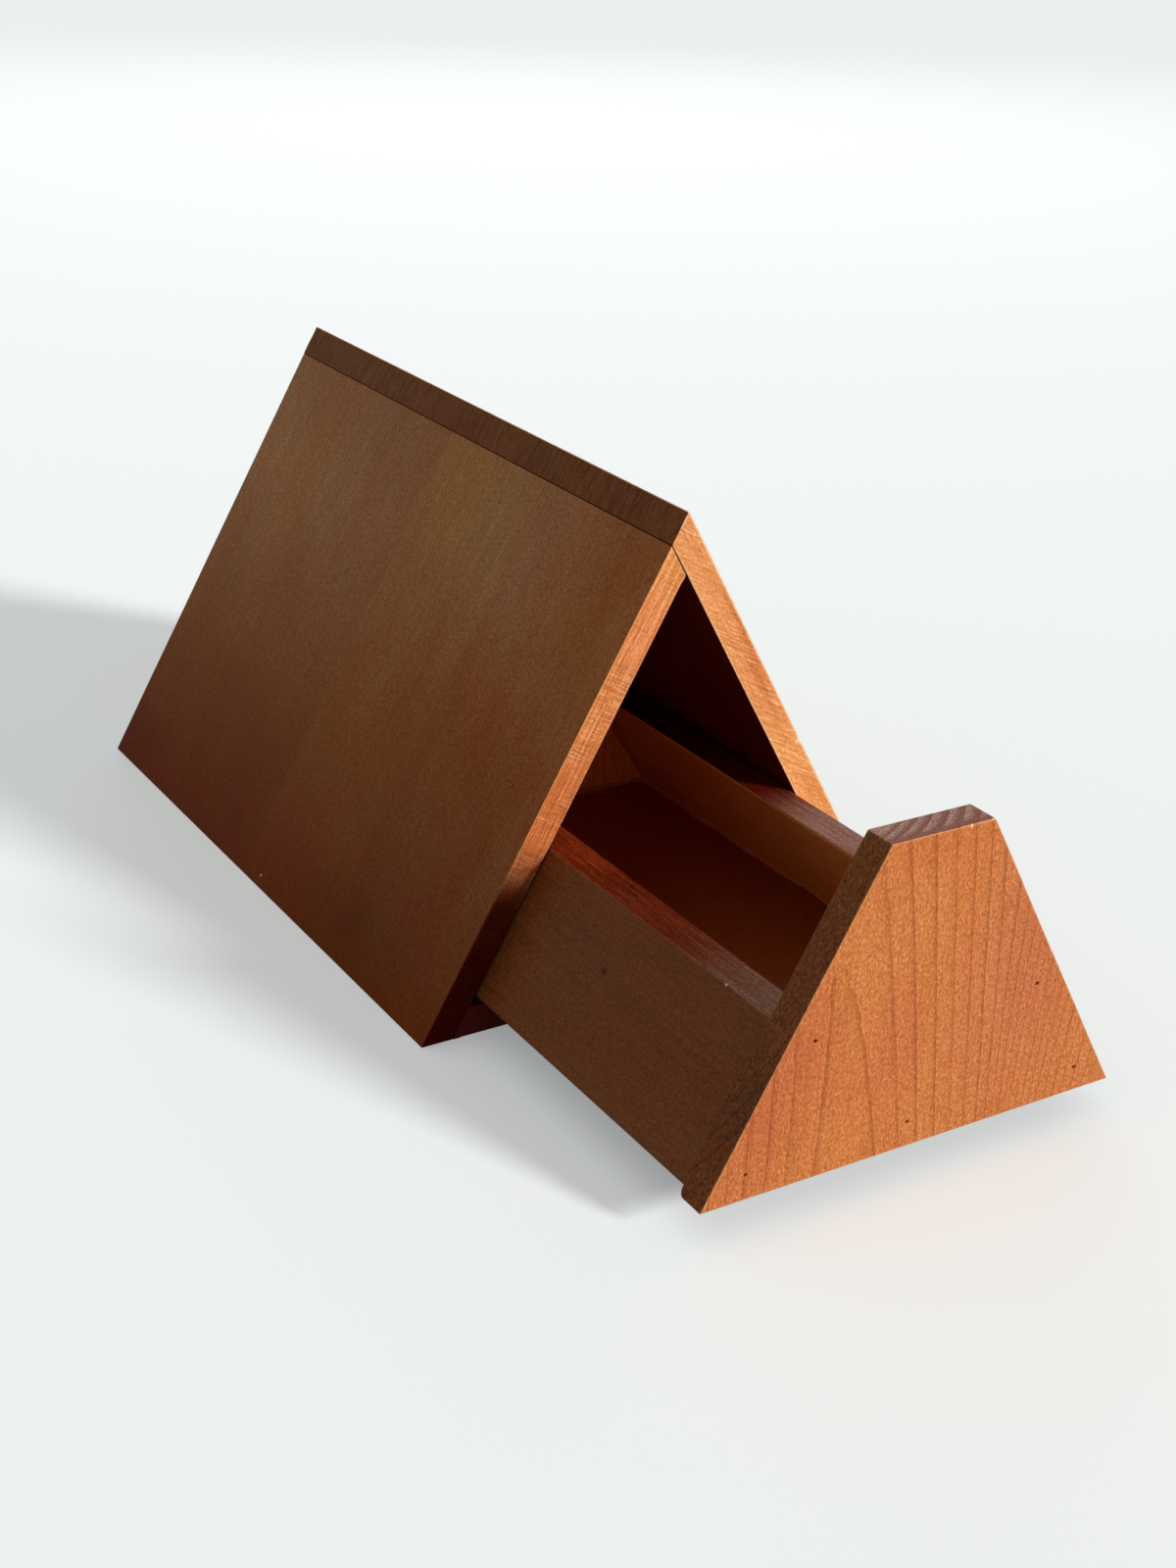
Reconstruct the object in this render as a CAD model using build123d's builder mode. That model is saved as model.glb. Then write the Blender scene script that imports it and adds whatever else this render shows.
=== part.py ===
"""A-frame desk letter box: a three-sided wooden case lying on one side, with a
sloped-sided drawer that slides out of its mouth.

Axes: +Z up, -Y out of the mouth, +X to the right of someone facing the mouth.  The
origin is the middle of the case's underside.  Every board is drawn as its end section
in XZ and extruded along Y.  The drawer is drawn partly pulled out.
"""

from build123d import *
from math import cos, radians, sin, tan
import os

# ---------------------------------------------------------------- driving sizes (mm)
case_length = 240.0           # front edges to rear edges of the case
base_width = 166.0            # over the feet of the two sloping panels
slope_deg = 60.5              # slope of the two panels
panel_thickness = 9.0         # both sloping panels
bottom_thickness = 9.0        # board across the foot of the case
back_thickness = 9.0          # triangular board that closes the rear
case_ease = 0.5               # rounding of the case's arrises

drawer_out = 107.0            # case front to the rear face of the drawer's front
drawer_inside_length = 201.5  # between the drawer's front and back boards
front_thickness = 10.0
drawer_back_thickness = 9.5
side_thickness = 9.5
side_height = 41.5
floor_thickness = 6.5
finger_opening = 29.5         # case's inner apex down to the flat top of the front
lip = 2.4                     # front and back boards reach this far below the sides
lip_round = 2.2               # rounded lower rear edge of the front
drawer_ease = 0.7             # rounding of the drawer's handled edges

side_gap = 0.6                # drawer to case, measured level, on each side
ride_clearance = 0.4          # drawer to bottom board

brad_diameter = 1.1
brad_length = 24.0            # point included
brad_point_length = 2.0
brad_point_diameter = 0.3
brad_set = 1.0                # punched this far below the surface
brad_from_inner_face = 1.9    # level distance into a side board from its inner face
low_brad_depth = 1.5          # below the top of the floor
left_brad_depth = 3.6         # upper left brad, below the top edge of the side
right_brad_depth = 6.4        # upper right brad
middle_brad_offset = -3.0     # middle brad, from the centre line

# ---------------------------------------------------------------- sizes that follow
slope = radians(slope_deg)
run = 1 / tan(slope)                           # level distance for each mm of height
panel_cut = panel_thickness / sin(slope)       # a sloping panel, measured level
side_cut = side_thickness / sin(slope)         # a drawer side, measured level
apex_height = base_width / 2 / run
inner_apex = apex_height - panel_thickness / cos(slope)
lap_height = (base_width - panel_cut) / 2 / run  # where the left panel stops

case_front = -case_length / 2
case_rear = case_length / 2
back_panel_front = case_rear - back_thickness

ride_height = bottom_thickness + ride_clearance
side_bottom = ride_height + lip
side_top = side_bottom + side_height
floor_top = side_bottom + floor_thickness
front_top = inner_apex - finger_opening

front_rear_face = case_front - drawer_out
front_face = front_rear_face - front_thickness
drawer_back_front_face = front_rear_face + drawer_inside_length
drawer_back_rear_face = drawer_back_front_face + drawer_back_thickness


def tunnel_half(z):
    """Half of the case's inside width at height z."""
    return base_width / 2 - panel_cut - z * run


def drawer_half(z):
    """Half of the drawer's outside width at height z."""
    return tunnel_half(z) - side_gap


def bay_half(z):
    """Half of the drawer's inside width at height z."""
    return drawer_half(z) - side_cut


def section_at(y):
    """Sketch plane of an end section at y: x level, z up, extruded towards the mouth."""
    return Plane.XZ.offset(-y)


def end_edges(board, y, *pairs):
    """Edges of a board's end face at y that join the given pairs of section corners."""
    middles = [Vector((a[0] + b[0]) / 2, y, (a[1] + b[1]) / 2) for a, b in pairs]
    return [board.edges().sort_by_distance(middle)[0] for middle in middles]


def long_edges(board, *corners):
    """Edges along Y that start from the given corners of the end section."""
    middle_y = board.part.center(CenterOf.BOUNDING_BOX).Y
    places = [Vector(x, middle_y, z) for x, z in corners]
    return [board.edges().filter_by(Axis.Y).sort_by_distance(place)[0] for place in places]


# ---------------------------------------------------------------- case

left_foot = (-base_width / 2, 0)
left_heel = (-tunnel_half(0), 0)
right_foot = (base_width / 2, 0)
right_heel = (tunnel_half(0), 0)
inner_ridge = (0, inner_apex)
lap = (-panel_cut / 2, lap_height)
ridge = (0, apex_height)

# The left panel stops against the inner face of the right one.
with BuildPart() as left_panel:
    with BuildSketch(section_at(case_rear)):
        Polygon(left_foot, left_heel, inner_ridge, lap, align=None)
    extrude(amount=case_length)
    eased = long_edges(left_panel, left_foot)
    eased += end_edges(
        left_panel, case_front, (left_foot, lap), (left_foot, left_heel), (left_heel, inner_ridge)
    )
    eased += end_edges(left_panel, case_rear, (left_foot, lap))
    fillet(eased, radius=case_ease)

# The right panel runs on to the ridge, where its end is cut in line with the left one.
with BuildPart() as right_panel:
    with BuildSketch(section_at(case_rear)):
        Polygon(right_foot, right_heel, lap, ridge, align=None)
    extrude(amount=case_length)
    eased = long_edges(right_panel, right_foot, ridge)
    for y in (case_front, case_rear):
        eased += end_edges(right_panel, y, (right_foot, ridge), (lap, ridge))
    eased += end_edges(right_panel, case_front, (right_foot, right_heel), (right_heel, lap))
    fillet(eased, radius=case_ease)

with BuildPart() as bottom_board:
    upper_half = tunnel_half(bottom_thickness)
    upper_right = (upper_half, bottom_thickness)
    upper_left = (-upper_half, bottom_thickness)
    with BuildSketch(section_at(case_rear)):
        Polygon(left_heel, right_heel, upper_right, upper_left, align=None)
    extrude(amount=case_length)
    fillet(
        end_edges(bottom_board, case_front, (left_heel, right_heel), (upper_left, upper_right)),
        radius=case_ease,
    )

with BuildPart() as back_panel:
    with BuildSketch(section_at(case_rear)):
        Polygon(upper_left, upper_right, inner_ridge, align=None)
    extrude(amount=back_thickness)


# ---------------------------------------------------------------- brads

def brad_seats(face, inward):
    """Planes of the blunt ends of the brads at one end of the drawer, facing inwards.

    face is the y of the board's outer face, and inward is 1 or -1 along Y.
    """
    into_side = side_cut - brad_from_inner_face
    low = floor_top - low_brad_depth
    left = side_top - left_brad_depth
    right = side_top - right_brad_depth
    places = [
        (into_side - drawer_half(low), low),
        (middle_brad_offset, low),
        (drawer_half(low) - into_side, low),
        (into_side - drawer_half(left), left),
        (drawer_half(right) - into_side, right),
    ]
    return [
        Plane(
            origin=(inward * x, face + inward * brad_set, z),
            x_dir=(1, 0, 0),
            z_dir=(0, inward, 0),
        )
        for x, z in places
    ]


def brads_at(seats):
    """Five headless brads with tapered points, as separate solids."""
    shank_length = brad_length - brad_point_length
    with BuildPart() as brads:
        with BuildSketch(*seats):
            Circle(brad_diameter / 2)
        extrude(amount=shank_length)
        with Locations(*[seat.offset(shank_length) for seat in seats]):
            Cone(
                brad_diameter / 2,
                brad_point_diameter / 2,
                brad_point_length,
                align=(Align.CENTER, Align.CENTER, Align.MIN),
            )
    return brads


front_seats = brad_seats(front_face, 1)
rear_seats = brad_seats(drawer_back_rear_face, -1)
front_brads = brads_at(front_seats)
rear_brads = brads_at(rear_seats)


# ---------------------------------------------------------------- drawer

lip_left = (-drawer_half(ride_height), ride_height)
lip_right = (drawer_half(ride_height), ride_height)
front_top_left = (-drawer_half(front_top), front_top)
front_top_right = (drawer_half(front_top), front_top)

# The front keeps to the tunnel's slope; its flat top leaves a finger opening above it.
with BuildPart() as drawer_front:
    with BuildSketch(section_at(front_rear_face)):
        Polygon(lip_left, lip_right, front_top_right, front_top_left, align=None)
    extrude(amount=front_thickness)
    fillet(end_edges(drawer_front, front_rear_face, (lip_left, lip_right)), radius=lip_round)
    eased = long_edges(drawer_front, front_top_left, front_top_right)
    eased += end_edges(drawer_front, front_rear_face, (front_top_left, front_top_right))
    eased += drawer_front.faces().sort_by(Axis.Y)[0].edges()
    fillet(eased, radius=drawer_ease)
    add(front_brads.part, mode=Mode.SUBTRACT)
    with BuildSketch(*front_seats):
        Circle(brad_diameter / 2)
    extrude(amount=-brad_set, mode=Mode.SUBTRACT)

# The back board is the same section cut off level with the sides.
with BuildPart() as drawer_back:
    back_top_left = (-drawer_half(side_top), side_top)
    back_top_right = (drawer_half(side_top), side_top)
    with BuildSketch(section_at(drawer_back_rear_face)):
        Polygon(lip_left, lip_right, back_top_right, back_top_left, align=None)
    extrude(amount=drawer_back_thickness)
    eased = end_edges(drawer_back, drawer_back_front_face, (back_top_left, back_top_right))
    eased += drawer_back.faces().sort_by(Axis.Y)[-1].edges()
    fillet(eased, radius=drawer_ease)
    add(rear_brads.part, mode=Mode.SUBTRACT)
    with BuildSketch(*rear_seats):
        Circle(brad_diameter / 2)
    extrude(amount=-brad_set, mode=Mode.SUBTRACT)


def side_board(hand):
    """A drawer side between the front and back boards: hand is -1 left, 1 right."""
    inner_low = (hand * bay_half(side_bottom), side_bottom)
    outer_low = (hand * drawer_half(side_bottom), side_bottom)
    outer_high = (hand * drawer_half(side_top), side_top)
    inner_high = (hand * bay_half(side_top), side_top)
    with BuildPart() as board:
        with BuildSketch(section_at(drawer_back_front_face)):
            Polygon(inner_low, outer_low, outer_high, inner_high, align=None)
        extrude(amount=drawer_inside_length)
        fillet(long_edges(board, outer_low, outer_high, inner_high), radius=drawer_ease)
        add(front_brads.part, mode=Mode.SUBTRACT)
        add(rear_brads.part, mode=Mode.SUBTRACT)
    return board


drawer_side_left = side_board(-1)
drawer_side_right = side_board(1)

with BuildPart() as drawer_floor:
    with BuildSketch(section_at(drawer_back_front_face)):
        Polygon(
            (-bay_half(side_bottom), side_bottom),
            (bay_half(side_bottom), side_bottom),
            (bay_half(floor_top), floor_top),
            (-bay_half(floor_top), floor_top),
            align=None,
        )
    extrude(amount=drawer_inside_length)
    add(front_brads.part, mode=Mode.SUBTRACT)
    add(rear_brads.part, mode=Mode.SUBTRACT)


# ---------------------------------------------------------------- labels and files

pieces = {
    "left_panel": left_panel,
    "right_panel": right_panel,
    "bottom_board": bottom_board,
    "back_panel": back_panel,
    "drawer_front": drawer_front,
    "drawer_back": drawer_back,
    "drawer_side_left": drawer_side_left,
    "drawer_side_right": drawer_side_right,
    "drawer_floor": drawer_floor,
    "front_brads": front_brads,
    "rear_brads": rear_brads,
}

os.makedirs("parts", exist_ok=True)
for name, piece in pieces.items():
    piece.part.label = name
    export_step(piece.part, f"parts/{name}.step")

print(f"case {base_width:.1f} wide, {apex_height:.1f} high, inner apex {inner_apex:.1f}")
print(f"drawer slides in by {back_panel_front - drawer_back_rear_face:.1f}")
print(f"drawer slides out by {drawer_back_rear_face - case_front:.1f}")
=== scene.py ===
# Looks of an A-frame desk letter box. Each board of the frame is made again as a stained,
# handled board: rounded arrises, punched brads and small knocks, with wood figure that
# follows the board it is cut from.
import bpy
import bmesh
import numpy as np
from math import cos, radians, sin, tan
from mathutils import Matrix, Vector


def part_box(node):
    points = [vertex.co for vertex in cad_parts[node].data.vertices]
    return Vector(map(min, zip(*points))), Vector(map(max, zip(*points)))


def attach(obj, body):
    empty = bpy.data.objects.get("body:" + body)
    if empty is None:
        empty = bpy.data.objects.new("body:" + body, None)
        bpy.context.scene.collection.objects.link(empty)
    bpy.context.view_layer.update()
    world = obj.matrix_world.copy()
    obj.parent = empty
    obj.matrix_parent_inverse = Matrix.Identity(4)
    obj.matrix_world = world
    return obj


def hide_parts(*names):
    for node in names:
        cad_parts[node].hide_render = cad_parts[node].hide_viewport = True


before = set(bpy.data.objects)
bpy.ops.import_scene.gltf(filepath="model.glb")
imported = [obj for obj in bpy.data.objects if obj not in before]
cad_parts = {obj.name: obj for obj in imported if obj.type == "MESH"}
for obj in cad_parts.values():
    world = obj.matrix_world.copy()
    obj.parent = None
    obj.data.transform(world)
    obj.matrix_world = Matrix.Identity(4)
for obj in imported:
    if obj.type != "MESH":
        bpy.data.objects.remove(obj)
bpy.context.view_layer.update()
mm = 0.001


# Sizes, from the frame.
boardLow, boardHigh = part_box("bottom_board")
frontLow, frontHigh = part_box("drawer_front")
sideLow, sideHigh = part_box("drawer_side_left")
floorLow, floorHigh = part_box("drawer_floor")
backLow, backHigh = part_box("drawer_back")
rearLow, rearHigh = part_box("back_panel")

slope = radians(60.5)            # of the sloping panels and of the drawer's sides
run = 1 / tan(slope)             # level distance for each unit of height
panelCut = 9 * mm / sin(slope)   # a sloping panel, measured level
sideCut = 9.5 * mm / sin(slope)  # a drawer side, measured level
gap = 0.6 * mm                   # level play beside the drawer
mouth = boardLow.y               # front edges of the case
rear = boardHigh.y


# Half of the tunnel's width at a height: the foot's half less the slope's share.
def tunnelHalf(z):
    return boardHigh.x - z * run


# The drawer keeps inside the tunnel by the play.
def drawerHalf(z):
    return tunnelHalf(z) - gap


# The drawer's inside is narrower by one side board each side.
def bayHalf(z):
    return drawerHalf(z) - sideCut


halfBase = boardHigh.x + panelCut
leftFoot = (-halfBase, 0)
leftHeel = (-boardHigh.x, 0)
rightFoot = (halfBase, 0)
rightHeel = (boardHigh.x, 0)
ridge = (0, halfBase / run)
innerRidge = (0, boardHigh.x / run)
lap = (-panelCut / 2, (halfBase - panelCut / 2) / run)


# A level section from one height to another, whose half width is given by half(z).
def levelSection(half, low, high):
    return [(-half(low), low), (half(low), low), (half(high), high), (-half(high), high)]


# An object of a mesh, a lamp or a lens, put into the scene.
def addObject(name, data):
    thing = bpy.data.objects.new(name, data)
    bpy.context.scene.collection.objects.link(thing)
    return thing


view = {
    "place": (-0.34235, -0.62421, 0.33825),
    "turn": 0.55451,      # to the right of straight in, radians
    "down": 0.42342,
    "roll": 0.02965,
    "lens": 53.16,        # on a 36 mm wide sensor
}


# The view's three axes: ahead is turned right and then down, and the level pair is rolled.
def makeCamera():
    turn, down, roll = view["turn"], view["down"], view["roll"]
    ahead = Vector((sin(turn) * cos(down), cos(turn) * cos(down), -sin(down)))
    level = Vector((cos(turn), -sin(turn), 0))
    upright = level.cross(ahead)
    across = cos(roll) * level + sin(roll) * upright
    above = cos(roll) * upright - sin(roll) * level
    lens = bpy.data.cameras.new("camera")
    lens.lens = view["lens"]
    lens.sensor_width = 36
    lens.clip_start = 0.01
    camera = addObject("camera", lens)
    camera.matrix_world = Matrix.LocRotScale(
        Vector(view["place"]), Matrix((across, above, -ahead)).transposed().to_quaternion(), None
    )
    bpy.context.scene.camera = camera


makeCamera()
print("camera placed")


packing = {
    "ends": np.array([0, 0.1, 0.25, 0.45, 0.7, 1, 1.5, 2.2, 3.2, 4.6, 6.4]),   # times the ease
    "marks": np.array([0, 0.12, 0.28, 0.4, 0.48, 0.56, 0.66, 0.82, 1.1, 1.6, 2.4]) * mm,
    "closest": 0.03 * mm,   # no two stations stand nearer
    "joined": 0.001 * mm,   # corners this near are one
}
endShare = 0.45             # what is kept for one end takes no more of a length than this


# Places along one side of a board: packed over both roundings and round each mark, and
# spread evenly between them.
def stations(length, ease, step, marks):
    close = ease * packing["ends"]
    close = close[close < length * endShare]
    count = max(2, int((length - 2 * close[-1]) / step) + 1)
    places = [close, length - close, np.linspace(close[-1], length - close[-1], count)]
    for mark in marks:
        places += [mark + packing["marks"], mark - packing["marks"]]
    places = np.unique(np.concatenate(places))
    places = places[(places >= 0) & (places <= length)]
    apart = np.concatenate([[True], np.diff(places) > packing["closest"]])
    places = places[apart]
    places[-1] = length
    return places


# Six grids that close a box: each pair of station lists is crossed on the low and on the
# high side of the third, and corners that fall together are joined.
def boxGrid(lines):
    points, quads, start = [], [], 0
    for fixed in range(3):
        first, second = (fixed + 1) % 3, (fixed + 2) % 3
        one, two = np.meshgrid(lines[first], lines[second], indexing="ij")
        index = np.arange(one.size).reshape(one.shape)
        for end in (0, -1):
            sheet = np.full(one.shape + (3,), lines[fixed][end])
            sheet[..., first] = one
            sheet[..., second] = two
            ring = [index[:-1, :-1], index[1:, :-1], index[1:, 1:], index[:-1, 1:]]
            ring = ring if end else ring[::-1]
            points.append(sheet.reshape(-1, 3))
            quads.append(np.stack(ring, axis=-1).reshape(-1, 4) + start)
            start += one.size
    points = np.concatenate(points)
    keys = np.round(points / packing["joined"]).astype(np.int64)
    kept, joined = np.unique(keys, axis=0, return_index=True, return_inverse=True)[1:]
    return points[kept], joined.reshape(-1)[np.concatenate(quads)]


# Slow unevenness: four sines across the board in chosen directions, about -1 to 1.
def drift(points, seed, wave):
    dice = np.random.default_rng(seed)
    total = np.zeros(len(points))
    for turn in range(4):
        direction = dice.normal(size=3)
        direction /= np.linalg.norm(direction)
        length = wave * (0.5 + 0.4 * turn)
        total += np.sin(points @ direction * 2 * np.pi / length + dice.uniform(0, 2 * np.pi))
    return total / 2.4


# 0 before the first value, 1 after the second, and a smooth cubic between them.
def ramp(values, first, second):
    share = np.clip((values - first) / (second - first), 0, 1)
    return share * share * (3 - 2 * share)


edgeMargin = 3 * mm   # a box keeps this much of its width unstretched at both ends
tiny = 1e-9


# The box of a section is as wide as the middle of its two long lines, and as thick as the
# distance between them.
def boxSize(section):
    low, lowEnd, highEnd, high = (np.array(corner, float) for corner in section)
    along = (lowEnd - low) / np.linalg.norm(lowEnd - low)
    width = (np.linalg.norm(lowEnd - low) + np.linalg.norm(highEnd - high)) / 2
    normal = np.array([-along[1], along[0]])
    return width, abs((high - low) @ normal)


# Where a point of the end section falls in the board's box: its share of the way from the
# low line to the high line, and its reach along the line there, with both ends' margins kept.
def boxPlace(section, x, z):
    low, lowEnd, highEnd, high = (np.array(corner, float) for corner in section)
    width, thickness = boxSize(section)
    along = (lowEnd - low) / np.linalg.norm(lowEnd - low)
    normal = np.array([-along[1], along[0]])
    point = np.array([x, z])
    share = (point - low) @ normal / ((high - low) @ normal)
    start = low + share * (high - low)
    local = np.linalg.norm(lowEnd + share * (highEnd - lowEnd) - start)
    reach = (point - start) @ along
    inside = (reach - edgeMargin) * (width - 2 * edgeMargin) / (local - 2 * edgeMargin)
    return edgeMargin + inside, share * thickness


# From the box into the end section: a point's share of the thickness lies between the two
# long lines, its width becomes the reach along them, with both margins kept, and its length
# runs from the mouth end to the rear end.
def layIn(shape, size, box):
    low, lowEnd, highEnd, high = (np.array(corner, float) for corner in shape["section"])
    share = np.clip(box[:, 1] / size[1], 0, 1)
    start = low + np.outer(share, high - low)
    span = lowEnd + np.outer(share, highEnd - lowEnd) - start
    local = np.maximum(np.linalg.norm(span, axis=1), tiny)
    margin = np.minimum(edgeMargin, endShare * local)
    fromEnd = size[0] - box[:, 0]
    middle = (box[:, 0] - edgeMargin) * (local - 2 * margin) / (size[0] - 2 * edgeMargin)
    middle = margin + middle
    reach = np.where(fromEnd < edgeMargin, local - fromEnd * margin / edgeMargin, middle)
    reach = np.where(box[:, 0] < edgeMargin, box[:, 0] * margin / edgeMargin, reach)
    place = start + span * (reach / local)[:, None]
    return np.column_stack([place[:, 0], shape["mouth"] + box[:, 2], place[:, 1]])


handling = {
    "uneven": 0.3,        # share by which the rounding swells and shrinks
    "wave": 70 * mm,      # how slowly it does so
    "glued": 0.07 * mm,   # rounding left where a board is glued to another
    "band": 0.8 * mm,     # the pale band beside an arris, part wear and part painted highlight, dies away over this
}


# A board's box is rounded by drawing each surface point to the distance of the ease from
# the box shrunk by the ease. The wear and painted highlight is how far a point's direction
# leaves the faces', and the pale band beside an arris follows the second smallest
# distance to a face.
def roundBox(points, size, shape):
    ease = shape["ease"]
    softness = ease * (1 + handling["uneven"] * drift(points, shape["seed"], handling["wave"]))
    for region in shape.get("glued", ()):
        softness = np.where(region(points, size), handling["glued"], softness)
    handled = np.clip(softness / ease, 0, 1)
    softness = softness[:, None]
    inner = np.clip(points, softness, size - softness)
    away = points - inner
    outward = away / np.maximum(np.linalg.norm(away, axis=1, keepdims=True), tiny)
    wearAndHighlight = np.clip((1 - np.abs(outward).max(axis=1)) / (1 - 0.5 ** 0.5), 0, 1) * handled
    beside = np.sort(np.minimum(points, size - points), axis=1)[:, 1]
    beside = np.exp(-beside / handling["band"]) * handled
    nothing = np.zeros(len(points))
    layers = {"wearAndHighlight": wearAndHighlight, "beside": beside, "chip": nothing, "hole": nothing}
    return inner + outward * softness, outward, layers


# A lower rear corner square drawn into its quarter circle: each point is scaled by its
# larger side over its distance.
def roundCorner(box, size, radius):
    down = np.clip(radius - box[:, 1], 0, None)
    back = np.clip(box[:, 2] - (size[2] - radius), 0, None)
    scale = np.maximum(down, back) / np.maximum(np.hypot(down, back), tiny)
    both = (down > 0) & (back > 0)
    box[:, 1] = np.where(both, radius - down * scale, box[:, 1])
    box[:, 2] = np.where(both, size[2] - radius + back * scale, box[:, 2])


# Knocks press the surface in by a bell over their reach, and lay bare paler wood or hold
# dirt. The knocked box is laid into the end section.
def pressKnocks(shape, size, box, outward, layers):
    world = layIn(shape, size, box)
    for knock in shape.get("knocks", ()):
        away = world / mm - np.array(knock["at"])
        share = np.exp(-np.square(away / np.array(knock["reach"])).sum(axis=1))
        box -= outward * (share * knock["depth"] * mm)[:, None]
        shows = knock.get("shows", "chip")
        layers[shows] = np.maximum(layers[shows], share)
    return layIn(shape, size, box)


punch = {
    "radius": 0.46 * mm,
    "depth": 1.3 * mm,
    "wall": 0.04 * mm,   # how sharply the hole's wall falls
    "dish": 0.06 * mm,
}


# Punched brad holes: one over one plus a growing exponential makes a well of the punch's
# radius, and a bell round it makes a slight dish. The end is -1 at the mouth, 1 at the rear.
def punchHoles(shape, size, points, world, hole):
    end = shape["punchedEnd"]
    onFace = np.abs(points[:, 2] - (0 if end < 0 else size[2])) < tiny
    for x, z in shape["punches"]:
        apart = np.hypot(world[:, 0] - x, world[:, 2] - z)
        outside = np.minimum((apart - punch["radius"]) / punch["wall"], 60)
        deep = punch["depth"] / (1 + np.exp(outside))
        dish = punch["dish"] * np.exp(-(apart / (2 * punch["radius"])) ** 2)
        world[:, 1] -= np.where(onFace, end * (deep + dish), 0)
        dark = 1 - ramp(apart, 0.6 * punch["radius"], 1.4 * punch["radius"])
        hole = np.where(onFace, np.maximum(hole, dark), hole)
    return hole


# Six times the enclosed volume, from the two triangles of each quad; below 0 inside out.
def sixVolumes(world, quads):
    one, two, three, four = world[quads].transpose(1, 0, 2)
    return (one * (np.cross(two, three) + np.cross(three, four))).sum()


# A mesh with its layers as point attributes. Each quad takes the finish of the side of the
# box that it faces most: the ends of the section's long lines, the low face, the high face,
# or the board's ends.
def boardMesh(name, world, quads, layers, outward, finish):
    mesh = bpy.data.meshes.new(name)
    mesh.from_pydata(world, [], quads)
    for label, values in layers.items():
        attribute = mesh.attributes.new(label, "FLOAT", "POINT")
        attribute.data.foreach_set("value", values.astype(np.float32))
    for wood in finish:
        mesh.materials.append(woods[wood])
    facing = outward[quads].mean(axis=1)
    index = np.array([0, 1, 3])[np.abs(facing).argmax(axis=1)]
    index = np.where((index == 1) & (facing[:, 1] > 0), 2, index)
    mesh.polygons.foreach_set("material_index", index.astype(np.int32))
    mesh.shade_smooth()
    mesh.update()
    return mesh


# A board of the frame made again: a box gridded finely near its arrises and marks, rounded,
# knocked, laid into its end section and punched.
def makeBoard(name, body, node, shape):
    section = shape["section"]
    size = np.array([*boxSize(section), shape["rear"] - shape["mouth"]])
    spots = [(*boxPlace(section, x, z), 0) for x, z in shape.get("punches", ())]
    for knock in shape.get("knocks", ()):
        x, y, z = np.array(knock["at"]) * mm
        spots.append((*boxPlace(section, x, z), y - shape["mouth"]))
    points, quads = boxGrid([
        stations(size[k], shape["ease"], shape["step"][k], [spot[k] for spot in spots])
        for k in range(3)
    ])

    box, outward, layers = roundBox(points, size, shape)
    if "roundover" in shape:
        roundCorner(box, size, shape["roundover"])
    world = pressKnocks(shape, size, box, outward, layers)
    # Seams take the dark hole colour: painted shade in the gap where boards meet.
    for region in shape.get("seams", ()):
        layers["hole"] = np.where(region(points, size), 1, layers["hole"])
    if "punches" in shape:
        layers["hole"] = punchHoles(shape, size, points, world, layers["hole"])
    world = np.clip(world, *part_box(node))   # no point stands outside the node's own box
    volumes = sixVolumes(world, quads)
    if volumes < 0:
        quads = quads[:, ::-1]
    piece = addObject(name, boardMesh(name, world, quads, layers, outward, shape["finish"]))
    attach(piece, body)
    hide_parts(node)
    print(name, len(quads), "quads, volume", round(abs(volumes) / 6 * 1e6, 1), "cm3")


# A material, with its node tree and the tree's main shader.
def newMaterial(name):
    material = bpy.data.materials.new(name)
    material.use_nodes = True
    return material, material.node_tree, material.node_tree.nodes["Principled BSDF"]


# A node's sockets filled from numbers or from other nodes' sockets.
def fill(node, values):
    for socket, value in values.items():
        if isinstance(value, bpy.types.NodeSocket):
            node.id_data.links.new(value, node.inputs[socket])
        else:
            node.inputs[socket].default_value = value


# A node of a kind, with its settings and its sockets' values. It goes into the tree of the
# first socket among the values, where no tree is given.
def put(kind, values, out=0, tree=None, **settings):
    sockets = (value for value in values.values() if isinstance(value, bpy.types.NodeSocket))
    node = (tree or next(sockets).id_data).nodes.new("ShaderNode" + kind)
    for label, value in settings.items():
        setattr(node, label, value)
    fill(node, values)
    return node.outputs[out]


# One sum on one, two or three values.
def maths(operation, first, second=0.0, third=0.0):
    return put("Math", {0: first, 1: second, 2: third}, operation=operation)


# The values multiplied together.
def product(first, *others):
    for other in others:
        first = maths("MULTIPLY", first, other)
    return first


# One sum on one or two vectors; output 1 is for a sum that ends in a number.
def vectors(operation, first, second=(0, 0, 0), out=0):
    return put("VectorMath", {0: first, 1: second}, out=out, operation=operation)


# Cloudy values near 0.5, with features about one unit over each factor.
def clouds(vector, factors, detail=2.0, rough=0.5, seed=0.0):
    stretched = vectors("MULTIPLY", vector, factors)
    values = {"Vector": stretched, "W": seed, "Scale": 1.0, "Detail": detail, "Roughness": rough}
    return put("TexNoise", values, noise_dimensions="4D")


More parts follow.
